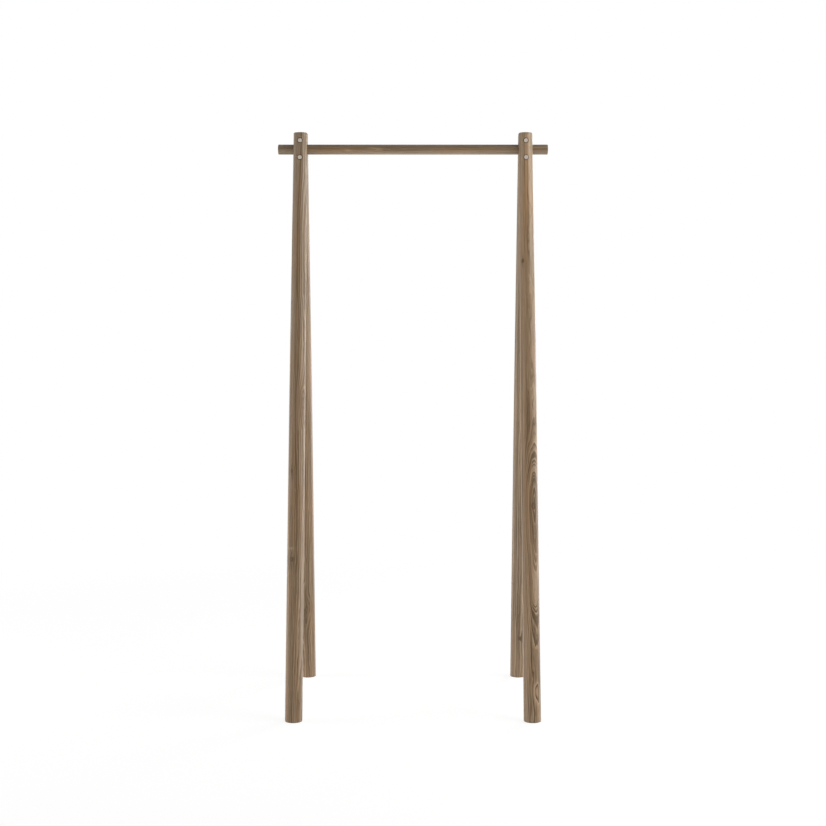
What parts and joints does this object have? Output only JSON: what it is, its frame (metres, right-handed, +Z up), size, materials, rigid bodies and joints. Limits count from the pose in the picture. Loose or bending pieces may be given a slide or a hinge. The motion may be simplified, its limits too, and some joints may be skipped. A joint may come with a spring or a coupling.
{
  "type": "open frame wardrobe",
  "caption": "Free-standing open wardrobe of leaning round wooden legs, bolted in pairs at the top around a round rail that carries clothes hangers.",
  "frame": {"origin": "on the floor, midway between the four feet", "axes": "+Z up, +X along the hanging rail towards the right-hand legs, -Y towards the front with the sleeve nuts"},
  "size_m": [0.81, 0.5992, 1.7],
  "materials": {
    "stained_leg": "brown stained pine, satin",
    "stained_rail": "brown stained pine, satin",
    "satin_nickel": "satin nickel",
    "dark_washer": "dark oxide"
  },
  "bodies": {
    "root": {"hanging_rail": "stained_rail", "leg_front_left": "stained_leg", "leg_rear_left": "stained_leg", "sleeve_nut_left_upper": "satin_nickel", "socket_bolt_left_upper": "satin_nickel", "nut_washer_left_upper": "dark_washer", "bolt_washer_left_upper": "dark_washer", "sleeve_nut_left_lower": "satin_nickel", "socket_bolt_left_lower": "satin_nickel", "nut_washer_left_lower": "dark_washer", "bolt_washer_left_lower": "dark_washer", "leg_front_right": "stained_leg", "leg_rear_right": "stained_leg", "sleeve_nut_right_upper": "satin_nickel", "socket_bolt_right_upper": "satin_nickel", "nut_washer_right_upper": "dark_washer", "bolt_washer_right_upper": "dark_washer", "sleeve_nut_right_lower": "satin_nickel", "socket_bolt_right_lower": "satin_nickel", "nut_washer_right_lower": "dark_washer", "bolt_washer_right_lower": "dark_washer"}
  },
  "joints": []
}
